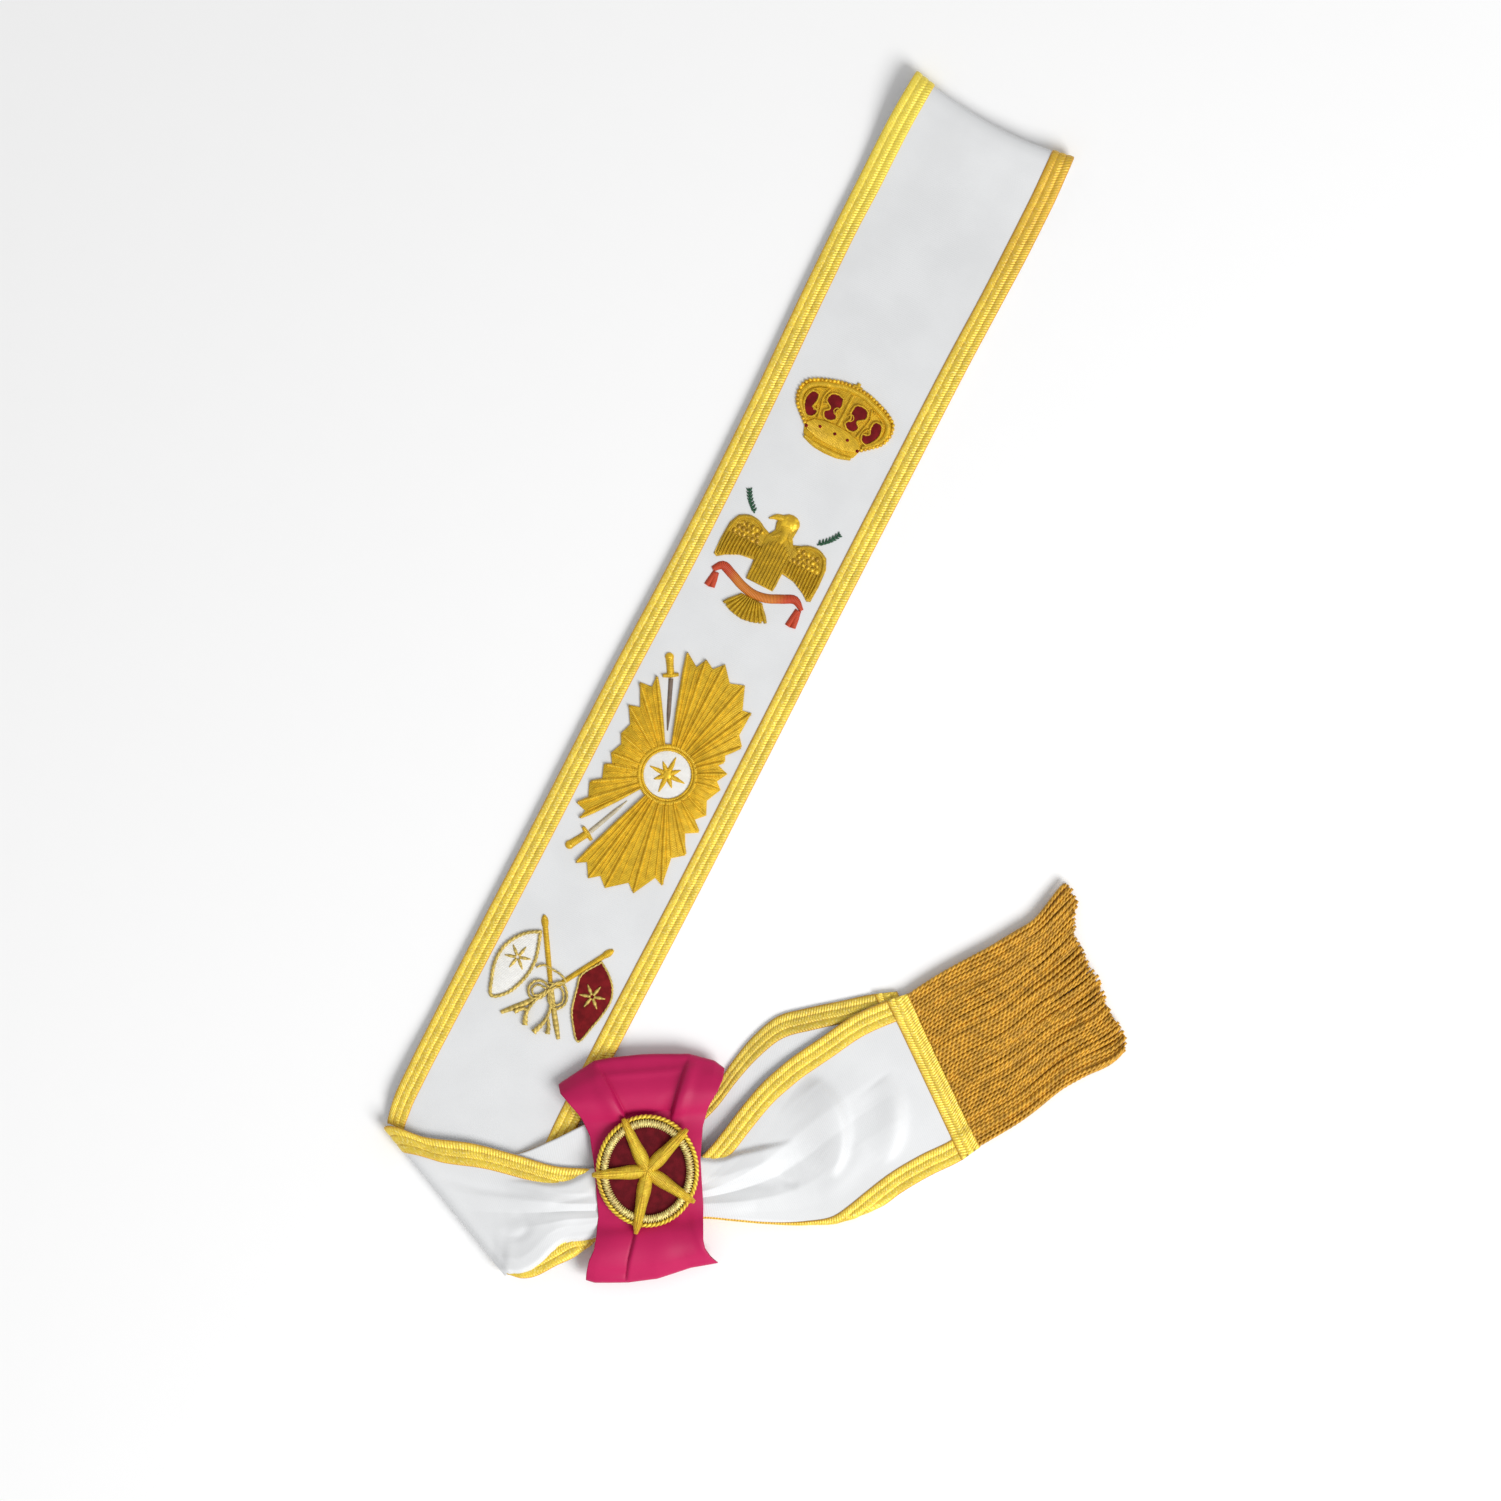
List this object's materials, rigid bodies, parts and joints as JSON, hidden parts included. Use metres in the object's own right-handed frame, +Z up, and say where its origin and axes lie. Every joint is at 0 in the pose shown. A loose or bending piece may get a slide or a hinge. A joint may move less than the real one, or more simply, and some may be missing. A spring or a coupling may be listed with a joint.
{
  "type": "regalia sash",
  "caption": "White ribbon sash edged in gold braid, folded to fringed tails under a satin bow with a round star badge, front embroidered in gold.",
  "frame": {"origin": "middle of the bounding box, on the surface the sash lies on", "axes": "+Z up from the surface; +Y along the front half of the loop, from the hip end towards the shoulder end; +X towards the fringed tails"},
  "size_m": [0.3524, 0.7174, 0.0227],
  "materials": {
    "ribbon": "white ribbed silk ribbon with a soft sheen",
    "braid": "bright gold braid with long ribs and two stitched grooves",
    "fringe": "dull old-gold twisted cords",
    "bow_satin": "magenta satin",
    "velvet": "dark red velvet",
    "bullion": "pale gold bullion coils",
    "cord": "orange-gold twisted cord",
    "star": "gilt, ridged arms",
    "gold_thread": "raised gold thread embroidery",
    "red_thread": "red and orange thread embroidery",
    "green_thread": "green thread embroidery",
    "white_thread": "white satin applique",
    "grey_thread": "grey thread embroidery"
  },
  "bodies": {
    "root": {"sash_ribbon": "ribbon", "braid_left": "braid", "braid_right": "braid", "tail_under": "ribbon", "braid_under_upper": "braid", "braid_under_lower": "braid", "fringe_over": "fringe", "fringe_under": "fringe", "bow_ribbon": "bow_satin", "badge_plate": "velvet", "badge_ring": "bullion", "badge_cord": "cord", "badge_star": "star", "braid_end_over": "braid", "braid_end_under": "braid", "crown_frame": "gold_thread", "crown_velvet_inner_right": "velvet", "crown_velvet_outer_right": "velvet", "crown_velvet_inner_left": "velvet", "crown_velvet_outer_left": "velvet", "bird_body": "gold_thread", "bird_wing_left": "gold_thread", "bird_wing_right": "gold_thread", "bird_tail": "gold_thread", "bird_ribbon": "red_thread", "sprig_left": "green_thread", "sprig_right": "green_thread", "glory_rays": "gold_thread", "glory_ring": "gold_thread", "glory_disc": "white_thread", "glory_star": "gold_thread", "dagger_upper_hilt": "gold_thread", "dagger_upper_blade": "grey_thread", "dagger_lower_hilt": "gold_thread", "dagger_lower_blade": "grey_thread", "flag_light": "white_thread", "flag_dark": "velvet", "flag_pole_left": "gold_thread", "flag_pole_right": "gold_thread", "flag_bow": "gold_thread"}
  },
  "joints": []
}
